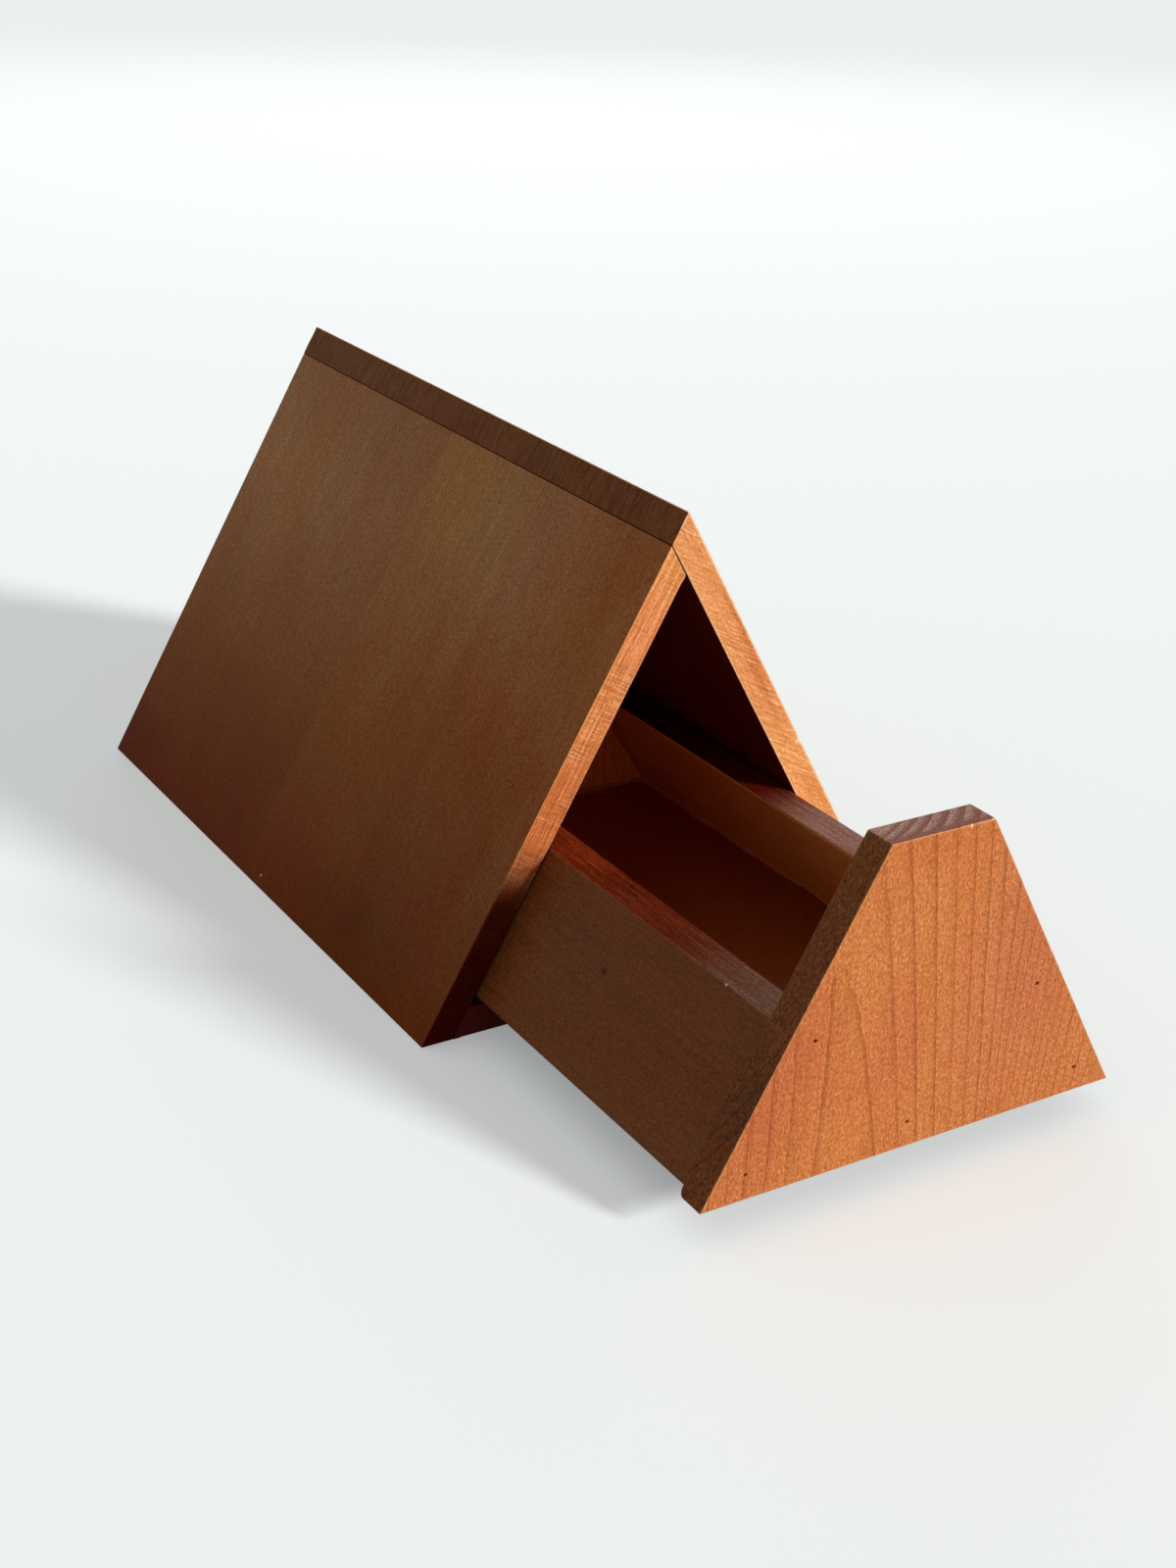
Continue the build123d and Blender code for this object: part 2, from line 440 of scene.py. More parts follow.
# The wood's patterns: each one's features are one over its factors in mm, across the face,
# through the board and along the grain. The seeds keep them apart.
grain = {
    "cloud": {"rough": 0.55, "seed": 1.3},
    "mottle": {"detail": 3, "rough": 0.65, "seed": 3.1},
    "streak": {"detail": 3, "rough": 0.6, "seed": 5.5},
    "warmth": {"factors": (1 / 35, 1 / 35, 1 / 90), "seed": 7.7},
    "fleck": {"factors": (2.4, 2.4, 0.5), "detail": 1, "seed": 9.2},
    "grit": {"factors": (1.5, 1.5, 1.0), "rough": 0.7, "seed": 2.2},
    "warp": {"factors": (1 / 60, 1 / 60, 1 / 200), "detail": 1.5},
    "waver": {"factors": (0.5, 0.5, 0.05), "detail": 2.0},
    "line": {"factors": (0.1, 0.1, 0.03)},
    "border": {"factors": (0.08, 0.08, 0.04), "seed": 12.5},
    "sawMarks": {"rough": 0.7, "seed": 4.4},
    "sawPatches": {"detail": 1, "seed": 8.8},
    "pores": {"factors": (2.8,) * 3, "detail": 3, "rough": 0.75, "seed": 6.1},
    "ragged": {"factors": (0.35,) * 3, "detail": 3, "rough": 0.65, "seed": 11.0},
}


# A value carried from one range to another, held at both ends.
def spread(value, low, high, newLow=0.0, newHigh=1.0, smooth=True):
    values = {0: value, 1: low, 2: high, 3: newLow, 4: newHigh}
    return put("MapRange", values, interpolation_type="SMOOTHSTEP" if smooth else "LINEAR")


# From the first colour to the second by the share; sockets 6 and 7 and output 2 are colours.
def blend(share, one, two, kind="MIX"):
    values = {0: share, 6: one, 7: two}
    return put("Mix", values, out=2, data_type="RGBA", blend_type=kind)


# Where a point lies in the piece's own frame, or the way that the room is looked at.
def objectPlace(tree):
    return put("TexCoord", {}, out=3, tree=tree)


# The value of one of the mesh's layers.
def layer(tree, label):
    return put("Attribute", {}, out=2, tree=tree, attribute_name=label)


# A paint-chart colour, 0 to 255, as linear light: the usual screen curve undone.
def stain(red, green, blue):
    screen = np.array([red, green, blue]) / 255
    linear = np.where(screen < 0.04045, screen / 12.92, ((screen + 0.055) / 1.055) ** 2.4)
    return (*linear.tolist(), 1.0)


# A tone near 1 as a multiplying colour: a power of it in each channel, so that fine texture
# changes how light the wood is and not how red.
def toneColour(tone, powers):
    channels = {index: maths("POWER", tone, power) for index, power in enumerate(powers)}
    return put("CombineColor", channels)


# Place in the board, in mm: across the face, through the board and along the grain, from
# an origin on the board.
def boardPlace(tree, cut):
    turned = Matrix(cut["axes"])
    origin = turned @ Vector(cut["origin"]) / mm
    values = {
        "Vector": objectPlace(tree),
        "Location": tuple(-origin),
        "Rotation": tuple(turned.to_euler()),
        "Scale": (1 / mm,) * 3,
    }
    return put("Mapping", values, vector_type="POINT")


# A value read off straight runs through the given points, and level past both ends.
def readOff(value, points):
    first, last = points[0][0], points[-1][0]
    low = min(height for place, height in points)
    high = max(height for place, height in points)
    curve = put("FloatCurve", {"Value": spread(value, first, last, smooth=False)}).node
    bends = curve.mapping.curves[0].points
    while len(bends) < len(points):
        bends.new(0.5, 0.5)
    for bend, (place, height) in zip(bends, points):
        bend.location = ((place - first) / (last - first), (height - low) / (high - low))
        bend.handle_type = "VECTOR"
    curve.mapping.update()
    return spread(curve.outputs[0], 0, 1, low, high, smooth=False)


# A place moved by three clouds at once, across and through the board, by up to the amount.
def wander(place, amount, factors, detail):
    stretched = vectors("MULTIPLY", place, factors)
    values = {"Vector": stretched, "Scale": 1.0, "Detail": detail}
    wave = vectors("SUBTRACT", put("TexNoise", values, out=1), (0.5, 0.5, 0.5))
    return vectors("MULTIPLY", wave, (amount, amount, 0))


# Growth rings: the distance from a leaning pith, over the ring's width, jittered. Its
# fraction runs from 0 to 1 across each ring; a power of it is the thin late line.
def growthRings(place, cut):
    moved = vectors("ADD", place, wander(place, cut["warp"], **grain["warp"]))
    moved = vectors("ADD", moved, wander(place, cut["waver"], **grain["waver"]))
    across, through, along = put("SeparateXYZ", {0: moved}).node.outputs
    fan = cut.get("fan")
    if fan:
        # the grain leans and bows by shares that change across the board
        height = maths("SUBTRACT", along, fan["pivot"])
        bow = readOff(across, fan["bows"])
        lean = maths("MULTIPLY_ADD", height, bow, readOff(across, fan["leans"]))
        across = maths("SUBTRACT", across, product(lean, height))
    pithAcross = maths("MULTIPLY_ADD", along, cut["lean"][0], cut["pith"][0])
    pithThrough = maths("MULTIPLY_ADD", along, cut["lean"][1], cut["pith"][1])
    aside = maths("SUBTRACT", across, pithAcross)
    behind = maths("SUBTRACT", through, pithThrough)
    distance = vectors("LENGTH", put("CombineXYZ", {0: aside, 1: behind}), out=1)
    if "lines" in cut:
        count = readOff(distance, [(line, index) for index, line in enumerate(cut["lines"])])
    else:
        count = maths("DIVIDE", distance, cut["ring"])
        jitter = put("TexNoise", {"W": count, "Scale": 0.8}, noise_dimensions="1D")
        count = maths("ADD", count, product(jitter, cut["jitter"]))
    share = maths("FRACT", count)
    which = maths("FLOOR", count)
    weight = put("TexWhiteNoise", {"W": which}, noise_dimensions="1D")
    weight = spread(weight, 0, 1, cut["faintest"], 1, smooth=False)
    edge = spread(share, 0.985, 1.0, 1, 0)
    # where the face runs nearly level with a ring the line would smear, so it is narrowed
    crossing = maths("DIVIDE", maths("ABSOLUTE", aside), distance)
    narrow = maths("DIVIDE", cut["level"], maths("MAXIMUM", crossing, 0.02))
    narrow = maths("MAXIMUM", narrow, 1.0)
    rest = product(maths("SUBTRACT", 1.0, share), narrow)
    near = maths("MAXIMUM", maths("SUBTRACT", 1.0, rest), 0.0)
    line = product(maths("POWER", near, cut["sharp"]), edge)
    patchy = spread(clouds(place, **grain["line"]), 0.35, 0.6, cut["patchy"], 1)
    return product(line, weight, patchy), share


# How much of a patch lies at a place: most of it at its middle and none past its border. The
# border lies at the patch's reach across and along the grain, and is ragged.
def patchShare(place, middle, reach, most):
    across, along, through = (*middle, 0)[:3]
    wide, long, deep = (*reach, np.inf)[:3]
    away = vectors("SUBTRACT", place, (across, through, along))
    away = vectors("MULTIPLY", away, (1 / wide, 1 / deep, 1 / long))
    border = maths("ADD", vectors("LENGTH", away, out=1), clouds(place, **grain["border"]))
    return spread(border, 1.6, 0.7, 0, most)


# The base tone, clouded, warmed, changed from stave to stave and in patches, mottled, and
# darkened towards the late wood of each ring.
def bodyColour(place, across, line, ringShare, tones, look):
    cloud = spread(clouds(place, look["cloudSize"], **grain["cloud"]), 0.36, 0.64)
    colour = blend(product(cloud, look["cloud"]), tones["base"], tones["deep"])
    warmth = spread(clouds(place, **grain["warmth"]), 0.4, 0.62)
    colour = blend(product(warmth, look["warm"]), colour, tones["warm"])
    for joint, change in look.get("staves", ()):
        colour = blend(spread(across, joint - 0.3, joint + 0.3), colour, change, "MULTIPLY")
    for tint, middle, reach, most in look.get("patches", ()):
        colour = blend(patchShare(place, middle, reach, most), colour, tints[tint], "MULTIPLY")
    mottle = clouds(place, look["mottleSize"], **grain["mottle"])
    lift = spread(mottle, 0.42, 0.68, 0, look["mottle"])
    colour = blend(lift, colour, tones["light"], "MULTIPLY")
    late = product(ringShare, look["ringBody"])
    late = maths("MAXIMUM", late, product(line, look["ringLine"]))
    return blend(late, colour, tones["late"], "MULTIPLY")


# Light and dark of the fine texture, near 1: streaks, flecks and grit multiplied.
def fineTone(place, streak, look):
    streakTone = spread(streak, 0.3, 0.7, 1 - look["streak"], 1 + look["streak"], False)
    fleckTone = spread(clouds(place, **grain["fleck"]), 0.62, 0.74, 1, 1 - look["fleck"])
    grit = clouds(place, **grain["grit"])
    gritTone = spread(grit, 0.3, 0.7, 1 - look["grit"], 1 + look["grit"], False)
    return product(streakTone, fleckTone, gritTone)


# Saw marks: long thin clouds, turned to the saw's stroke and lying in patches, cut pale
# lines, leave dark ridges and lower the surface.
def sawMarks(place, saw, bare, colour, tone, height):
    turned = put("VectorRotate", {"Vector": place, "Angle": saw["angle"]},
                 rotation_type=saw["about"] + "_AXIS")
    marks = clouds(turned, saw["size"], **grain["sawMarks"])
    where = spread(clouds(place, saw["patches"], **grain["sawPatches"]), *saw["where"])
    cuts = product(spread(marks, 0.5, 0.7), where)
    colour = blend(product(cuts, saw["pale"]), colour, bare)
    ridges = spread(marks, 0.35, 0.65, -saw["dark"], saw["dark"] / 2, False)
    tone = product(tone, maths("MULTIPLY_ADD", ridges, where, 1.0))
    return colour, tone, maths("SUBTRACT", height, product(cuts, 1.2))


# Frost: grey pores in the early part of each ring, from a depth behind the face.
def frosted(place, through, ringShare, look, grey, colour):
    pores = spread(clouds(place, **grain["pores"]), 0.47, 0.6)
    early = spread(ringShare, 0.75, 0.2)
    behind = spread(through, *look["frostFrom"])
    return blend(product(pores, early, look["frost"], behind), colour, grey)


# How much a place takes of the pale arris colour, part wear and part painted highlight:
# the arris's rounding, or the band beside it where the look has an edging, broken up by
# ragged clouds.
def wornAndHighlitShare(tree, place, look):
    ragged = spread(clouds(place, **grain["ragged"]), 0.34, 0.56)
    rub = spread(layer(tree, "wearAndHighlight"), 0.08, 0.5)
    if "edging" in look:
        band = product(spread(layer(tree, "beside"), 0.25, 0.75), look["edging"])
        rub = maths("MAXIMUM", rub, band)
        ragged = spread(ragged, 0, 1, 0.45, 1)
    return product(rub, ragged)


# Stained wood: its body colour times its fine tone, pale along arrises for wear and painted
# highlight, with painted light and shade along the board where the look has a ramp, bare in
# chips and dark in holes, under a satin varnish.
def makeWood(name, cut, tones, look):
    material, tree, shader = newMaterial(name)
    place = boardPlace(tree, cut)
    across, through, along = put("SeparateXYZ", {0: place}).node.outputs
    line, ringShare = growthRings(place, cut)
    streak = clouds(place, look["streakSize"], **grain["streak"])
    colour = bodyColour(place, across, line, ringShare, tones, look)
    tone = fineTone(place, streak, look)
    height = maths("SUBTRACT", streak, product(line, 0.6))
    if "saw" in look:
        colour, tone, height = sawMarks(place, look["saw"], tones["bare"], colour, tone, height)
    if "frost" in look:
        colour = frosted(place, through, ringShare, look, tones["frost"], colour)
    colour = blend(1.0, colour, toneColour(tone, look["powers"]), "MULTIPLY")
    wornAndHighlit = wornAndHighlitShare(tree, place, look)
    # Pale along the arrises: part wear, part painted highlight where the arrises catch the light.
    colour = blend(product(wornAndHighlit, look["wearAndHighlight"]), colour, tones["bare"])
    # Painted light and shade: along the board the tone is drawn towards its foot tone by the look's
    # ramp.
    if look.get("paintedLight"):
        paintedLightTint = (np.array(tones["foot"]) / tones["base"]).tolist()
        colour = blend(readOff(along, look["paintedLight"]), colour, paintedLightTint, "MULTIPLY")
    chip = spread(layer(tree, "chip"), 0.3, 0.7)
    colour = blend(chip, colour, tones["raw"])
    colour = blend(layer(tree, "hole"), colour, tones["hole"])
    dull = maths("MAXIMUM", product(wornAndHighlit, 0.7), chip)
    sheen = spread(streak, 0.3, 0.7, look["rough"] - 0.1, look["rough"] + 0.1, False)
    relief = {"Strength": 1.0, "Distance": look["relief"] * mm, "Height": height}
    fill(shader, {
        "Base Color": colour,
        "Roughness": spread(dull, 0, 1, sheen, 0.75, False),
        "Coat Weight": look["coat"],
        "Coat Roughness": look["coatRough"],
        "Specular IOR Level": look["gloss"],
        "Normal": put("Bump", relief),
    })
    return material


up = (cos(slope), 0, sin(slope))        # up the left panel
back = (-cos(slope), 0, sin(slope))     # up the right panel
leftOut = (-sin(slope), 0, cos(slope))
rightOut = (sin(slope), 0, cos(slope))

plainTones = {
    "base": stain(205, 121, 68),
    "deep": stain(196, 106, 58),
    "warm": stain(206, 112, 68),
    "light": (1.15, 1.34, 1.36, 1.0),    # these two multiply the tone they lie on
    "late": (0.5, 0.36, 0.32, 1.0),
    # the colour of bare wood in saw cuts and worn arrises, also laid on arrises as painted
    # highlight
    "bare": stain(240, 188, 136),
    "raw": stain(238, 204, 158),
    "hole": stain(60, 24, 12),
    "frost": stain(204, 182, 164),
}


# Patches multiply the tone they lie on.
tints = {
    "rosy": (0.93, 0.8, 0.93, 1.0),
    "knot": (0.84, 0.64, 0.54, 1.0),
    "milky": (1.0, 1.03, 1.2, 1.0),
    "ochre": (1.0, 0.97, 0.78, 1.0),
    "moss": (1.0, 1.1, 0.92, 1.0),
    "gold": (1.05, 1.14, 1.04, 1.0),
    "plum": (0.84, 0.68, 0.72, 1.0),
    "rust": (0.98, 0.76, 0.5, 1.0),
    "umber": (0.92, 0.72, 0.54, 1.0),
    "pale": (1.1, 1.18, 1.15, 1.0),
    "ash": (0.84, 0.98, 1.02, 1.0),
}


# The same finish in other paint-chart colours.
def tinted(base, deep, warm, **others):
    colours = dict(others, base=base, deep=deep, warm=warm)
    return dict(plainTones, **{name: stain(*colour) for name, colour in colours.items()})


# The panels' foot tone is painted shade: with the ramp below, they turn darker and redder towards
# the table.
caseTones = tinted((172, 122, 85), (160, 106, 69), (168, 104, 60), foot=(118, 50, 12),
                   bare=(206, 132, 80))
frontTones = dict(tinted((203, 122, 62), (194, 107, 52), (204, 113, 62)),
                  light=(1.3, 1.55, 2.1, 1.0), late=(0.48, 0.34, 0.22, 1.0))
ridgeTones = tinted((129, 79, 44), (116, 68, 38), (128, 74, 40))
# The edge's foot tone is painted shadow: the drawer's shadow on the lower part of the left panel's
# front edge.
edgeTones = tinted((229, 149, 95), (215, 129, 77), (229, 143, 91), foot=(88, 16, 4),
                   bare=(244, 180, 126))
sawnTones = tinted((237, 158, 97), (229, 148, 88), (239, 158, 97), bare=(254, 208, 160))
sideTones = tinted((127, 73, 35), (114, 60, 29), (126, 66, 31))
# The drawer front's slanted edges take a darker copy of the front's tones: painted shade.
shadeTones = tinted((132, 76, 38), (120, 64, 32), (130, 70, 34))
# The left side's top edge turns grey-brown near the drawer's front by its foot tone and ramp:
# painted sheen.
leftTopTones = tinted((140, 50, 18), (126, 42, 16), (142, 51, 19), bare=(170, 124, 92),
                      foot=(138, 92, 62))
# The right side's top edge: its mauve-grey base is painted sheen, and its dark red foot tone deep
# in the tunnel is painted shade.
rightTopTones = tinted((143, 98, 84), (131, 86, 73), (145, 96, 81), bare=(170, 138, 118),
                       foot=(100, 22, 10))
# The drawer's inner walls: the pale base near the mouth is painted light, and the darker foot tone
# deeper in is painted shade.
insideTones = tinted((247, 166, 86), (237, 152, 76), (245, 160, 80), foot=(192, 122, 62))
# Painted shade: the inside of the tunnel and the bottom board are given a dark red tone.
tunnelTones = tinted((98, 20, 14), (88, 17, 12), (98, 22, 13), bare=(160, 76, 42))
# The drawer floor's foot tone, laid over its front half by the ramp, is painted light and shade
# along the floor.
floorTones = tinted((148, 46, 24), (136, 40, 20), (150, 48, 24), foot=(121, 54, 17))
rearTones = tinted((188, 106, 58), (176, 92, 48), (186, 98, 50))
closedTones = tinted((236, 138, 62), (224, 120, 54), (232, 130, 56))
endTones = tinted((138, 78, 56), (116, 60, 45), (132, 70, 50))

plainLook = {
    "cloud": 0.6, "cloudSize": (1 / 16, 1 / 16, 1 / 120), "warm": 0.5,
    "mottle": 0.5, "mottleSize": (1.5, 1.5, 0.9),
    "streak": 0.1, "streakSize": (2.0, 2.0, 0.06), "fleck": 0.2, "grit": 0.16,
    "ringBody": 0.08, "ringLine": 0.75, "powers": (1, 1.65, 2.6), "wearAndHighlight": 0.85,
    "rough": 0.45, "gloss": 0.22, "coat": 0.0, "coatRough": 0.3, "relief": 0.05,
}

plainCut = {
    "warp": 6, "waver": 0.5, "ring": 5.0, "jitter": 1.6, "faintest": 0.2, "sharp": 12,
    "patchy": 0.55, "lean": (0.02, 0.03),
    "level": 0.28,   # lines are narrowed where the face crosses the rings more level than this
}

# Each cut's axes run across the face, out through the board and along the grain.
leftCut = dict(plainCut, axes=((0, 1, 0), leftOut, up), origin=(-halfBase, 0, 0), pith=(-20, 60))
rightCut = dict(plainCut, axes=((0, -1, 0), rightOut, back), origin=(halfBase, 0, 0),
                pith=(35, 50))
frontCut = dict(
    plainCut, axes=((1, 0, 0), (0, 1, 0), (0, 0, 1)), origin=(0, frontLow.y, 0),
    pith=(-20.4, 37.1), lean=(-0.12, 0.0185), warp=0.4, waver=0.3, sharp=6.5, faintest=0.65,
    patchy=0.9,
    lines=[36.3, 38.4, 41.1, 44, 47.5, 51, 54.6, 57.9, 60.8, 63.2, 65.3, 67.3, 69.3, 71.4, 73.7,
           76.1, 78.6, 81.4, 84.5, 87.6, 91, 95],
    fan={
        "pivot": 35,
        "bows": [(-60, 0), (-36, -0.0017), (-25, -0.0015), (-19, 0), (70, 0.00013)],
        "leans": [(-56, 0.13), (-20, 0.004), (20, 0.084), (36, 0.245), (70, 0.405)],
    },
)
backCut = dict(frontCut, origin=(15 * mm, backLow.y, 8 * mm))
sideCutLeft = dict(plainCut, axes=(up, (sin(slope), 0, -cos(slope)), (0, 1, 0)),
                   origin=(-drawerHalf(sideLow.z), frontHigh.y, sideLow.z), pith=(60, 25))
sideCutRight = dict(plainCut, axes=(back, rightOut, (0, 1, 0)),
                    origin=(drawerHalf(sideLow.z), frontHigh.y, sideLow.z), pith=(-40, 30))
floorCut = dict(plainCut, axes=((1, 0, 0), (0, 0, -1), (0, 1, 0)),
                origin=(0, floorLow.y, floorLow.z), pith=(10, 70))

frontLook = dict(
    plainLook, mottle=0.75, mottleSize=(2.0, 2.0, 1.1), grit=0.3, fleck=0.3, relief=0.02,
    ringLine=1.0, ringBody=0.12, powers=(0.9, 1.6, 2.8), cloud=0.4, warm=0.3, wearAndHighlight=0.45,
    edging=0.5, patches=[
        ("rosy", (-42, 46), (19, 30), 1.0), ("rosy", (34, 58), (14, 34), 0.6),
        ("rosy", (-56, 22), (18, 22), 0.6), ("milky", (30, 52), (30, 44), 1.0),
        ("rosy", (-10, 42), (12, 22), 0.6), ("gold", (-22, 16), (13, 14), 0.7),
        ("rust", (-2, 97), (26, 11), 0.25), ("gold", (2, 78), (18, 18), 0.4),
    ],
)
shadeLook = dict(
    frontLook, mottle=0.4, ringBody=0.08, streak=0.55, streakSize=(2.2, 2.2, 0.07),
    gloss=0.065, fleck=0.4, grit=0.3, wearAndHighlight=0.15,
    patches=[
        ("plum", (-56, 33), (60, 22), 0.45), ("ash", (-56, 38), (60, 14), 0.9),
        ("gold", (-20, 96), (60, 14), 0.8),
    ],
)
caseLook = dict(
    plainLook, ringLine=0.1, ringBody=0.03, cloud=0.4, cloudSize=(1 / 26, 1 / 26, 1 / 70),
    warm=0.35, streak=0.12, fleck=0.3, grit=0.27, gloss=0.032, rough=0.5,
    # Painted shade: the panels darken towards the foot, where less light reaches them.
    paintedLight=[(0, 1), (13, 0.93), (40, 0.71), (66, 0.41), (92, 0.17), (125, 0)],
)
leftLook = dict(caseLook, staves=[
    (-51.7, (1.06, 1.09, 1.0, 1.0)), (7.3, (0.92, 0.9, 1.04, 1.0)), (70, (1.05, 1.06, 1.02, 1.0)),
], patches=[
    ("gold", (-20, 140), (46, 28), 0.9), ("gold", (-17, 73), (22, 14), 0.3),
    ("pale", (-108, 8), (40, 26), 1.0), ("plum", (105, 8), (34, 20), 0.75),
    ("plum", (-50, 10), (26, 16), 0.5), ("plum", (-53, 86), (8, 26), 0.2),
    ("umber", (-56, 76), (84, 44), 0.95), ("rust", (-125, 116), (76, 80), 0.9),
    # The pale patch at (84, 118), high on the panel towards the back, is painted sheen.
    ("umber", (32, 30), (24, 26), 0.35), ("pale", (84, 118), (66, 36), 1.0),
    ("ochre", (10, 53), (400, 42), 1.0), ("moss", (-60, 8), (70, 18), 0.9),
    ("ochre", (70, 8), (80, 20), 0.9), ("ash", (-72, 12), (48, 16), 0.7),
    ("umber", (-92, 150), (44, 24), 0.5), ("pale", (-84, 92), (26, 18), 0.5),
    ("pale", (62, 66), (28, 18), 0.5), ("milky", (-104, 8), (50, 18), 0.9),
    ("ochre", (96, 14), (44, 20), 0.6),
])
sideLook = dict(
    plainLook, powers=(0.95, 1.65, 3.2), ringLine=0.12, ringBody=0.03, streak=0.17, fleck=0.35,
    grit=0.3, gloss=0.08, wearAndHighlight=0.15,
)
topLook = dict(sideLook, gloss=0.07, rough=0.5, streak=0.18, saw={
    "about": "Z", "angle": 0.0, "size": (1.6, 1.6, 0.05), "patches": (0.06, 0.06, 0.03),
    "where": (0.3, 0.55), "pale": 0.28, "dark": 0.25,
})
leftTopLook = dict(
    topLook, mottle=0.6, grit=0.4, streak=0.4, saw=dict(topLook["saw"], pale=0.12),
    # Painted sheen: the top edge is greyer over its front end.
    paintedLight=[(8, 1), (24, 0.7), (36, 0.1), (50, 0)], patches=[("ash", (44, 43), (60, 20), 0.8)],
)
# Painted shade: the right side's top edge turns dark red past about 100 mm from the front, inside
# the tunnel.
rightTopLook = dict(topLook, paintedLight=[(88, 0), (96, 0.27), (104, 0.72), (112, 1)])
# Painted light and shade: the drawer's inside darkens from about 60 mm back towards its rear.
insideLook = dict(plainLook, ringLine=0.15, ringBody=0.03, wearAndHighlight=0.4, coat=0.3, rough=0.4,
                  paintedLight=[(60, 0), (100, 0.4), (190, 1)])
# Painted light and shade along the floor, from its front half to its rear.
floorLook = dict(insideLook, coat=0.0, paintedLight=[(50, 1), (90, 0.85), (170, 0)])
tunnelLook = dict(insideLook, paintedLight=None, coat=0.0, gloss=0.1)
edgeLook = dict(
    plainLook, ringLine=0.5, streak=0.36, streakSize=(2.4, 2.4, 0.06), wearAndHighlight=0.9, cloud=0.3,
    mottle=0.25, grit=0.2, relief=0.05, gloss=0.03, edging=0.45,
    # Painted shadow of the drawer: the front edge turns dark red towards the foot, below about 60
    # mm up the slope.
    paintedLight=[(10, 1), (24, 0.975), (46, 0.94), (51, 0.78), (56, 0.42), (64, 0.08), (70, 0)],
    patches=[
        ("plum", (-120, 76), (30, 27), 0.5), ("umber", (-120, 76), (30, 34), 1.0),
        ("ash", (-120, 82), (30, 26), 0.6), ("pale", (-120, 150), (30, 20), 0.5),
        ("gold", (-120, 156), (30, 16), 0.6), ("umber", (-120, 132), (30, 20), 0.3),
    ],
    saw={
        "about": "Y", "angle": radians(-4), "size": (0.12, 0.12, 3.2), "patches": (0.02, 0.02, 0.1),
        "where": (0.42, 0.62), "pale": 0.35, "dark": 0.3,
    },
)
sawLook = dict(plainLook, ringLine=0.8, wearAndHighlight=1.0, cloud=0.3, edging=0.9, patches=[
    ("knot", (120, 122, -1.5), (30, 20, 1.5), 1.0), ("knot", (120, 107, -3.3), (30, 17, 1.6), 0.9),
    ("pale", (120, 80), (30, 16), 0.8),
], saw={
    "about": "X", "angle": radians(-33), "size": (0.1, 2.0, 0.1), "patches": (0.05, 0.05, 0.02),
    "where": (0.3, 0.55), "pale": 0.27, "dark": 0.23,
})
endLook = dict(plainLook, ringLine=0.8, ringBody=0.45, streak=0.12, fleck=0.3, grit=0.4, wearAndHighlight=0.3,
               rough=0.55, frost=0.95, frostFrom=(1.5, 3.5))
ridgeLook = dict(plainLook, ringLine=0.15, ringBody=0.05, fleck=0.3, grit=0.2, gloss=0.04, saw={
    "about": "Z", "angle": 0.0, "size": (1.3, 0.15, 0.15), "patches": (0.05, 0.05, 0.05),
    "where": (0.35, 0.6), "pale": 0.0, "dark": 0.35,
})

plans = {
    "leftFace": (leftCut, caseTones, leftLook),
    "leftEdge": (leftCut, edgeTones, edgeLook),
    "leftEnd": (leftCut, endTones, endLook),
    "leftInside": (leftCut, tunnelTones, tunnelLook),
    "rightFace": (rightCut, caseTones, caseLook),
    "rightEdge": (rightCut, sawnTones, sawLook),
    "rightInside": (rightCut, tunnelTones, tunnelLook),
    "ridgeEnd": (rightCut, ridgeTones, ridgeLook),
    "frontFace": (frontCut, frontTones, frontLook),
    "frontEdge": (frontCut, shadeTones, shadeLook),
    "frontEnd": (frontCut, endTones, endLook),
    "leftSideWood": (sideCutLeft, sideTones, sideLook),
    "leftSideTop": (sideCutLeft, leftTopTones, leftTopLook),
    "leftSideInside": (sideCutLeft, insideTones, insideLook),
    "rightSideWood": (sideCutRight, sideTones, sideLook),
    "rightSideTop": (sideCutRight, rightTopTones, rightTopLook),
    "rightSideInside": (sideCutRight, insideTones, insideLook),
    "floorWood": (floorCut, floorTones, floorLook),
    "footWood": (floorCut, tunnelTones, tunnelLook),
    "backWood": (backCut, closedTones, plainLook),
    "rearWood": (backCut, rearTones, plainLook),
    "backEnd": (backCut, endTones, endLook),
}
woods = {name: makeWood(name, *plan) for name, plan in plans.items()}
print("wood mixed")


# Boards of the case.
wholeLength = {"mouth": mouth, "rear": rear}
steps = (4 * mm, 3 * mm, 5 * mm)

makeBoard("leftPanel", "case", "left_panel", dict(
    wholeLength, finish=("leftEnd", "leftInside", "leftFace", "leftEdge"),
    section=[leftHeel, innerRidge, lap, leftFoot], step=steps, ease=0.42 * mm, seed=3,
    glued=[
        lambda p, s: (p[:, 1] < s[1] / 2) & (p[:, 0] < s[0] / 2) & (p[:, 2] > 5 * mm),
        lambda p, s: (p[:, 0] > s[0] - 2 * mm) & (p[:, 1] < s[1] - 2 * mm),
    ],
    # Painted shade: the top end of the left panel, where it meets the ridge, is dark.
    seams=[lambda p, s: p[:, 0] > s[0] - 0.4 * mm],
    knocks=[{"at": (-81.1, -4.6, 3.3), "reach": (0.6, 0.6, 0.6), "depth": 0.1}],
))
makeBoard("rightPanel", "case", "right_panel", dict(
    wholeLength, finish=("ridgeEnd", "rightInside", "rightFace", "rightEdge"),
    section=[rightHeel, lap, ridge, rightFoot], step=steps, ease=0.42 * mm, seed=5,
    glued=[lambda p, s: (p[:, 0] > s[0] - 2 * mm) & (p[:, 1] < s[1] / 2)],
    knocks=[
        {"at": (43.2, -120, 70.1), "reach": (1.4, 0.9, 1.0), "depth": 0.5},
        {"at": (0, -120, 146.6), "reach": (0.8, 0.7, 0.9), "depth": 0.15},
    ],
))
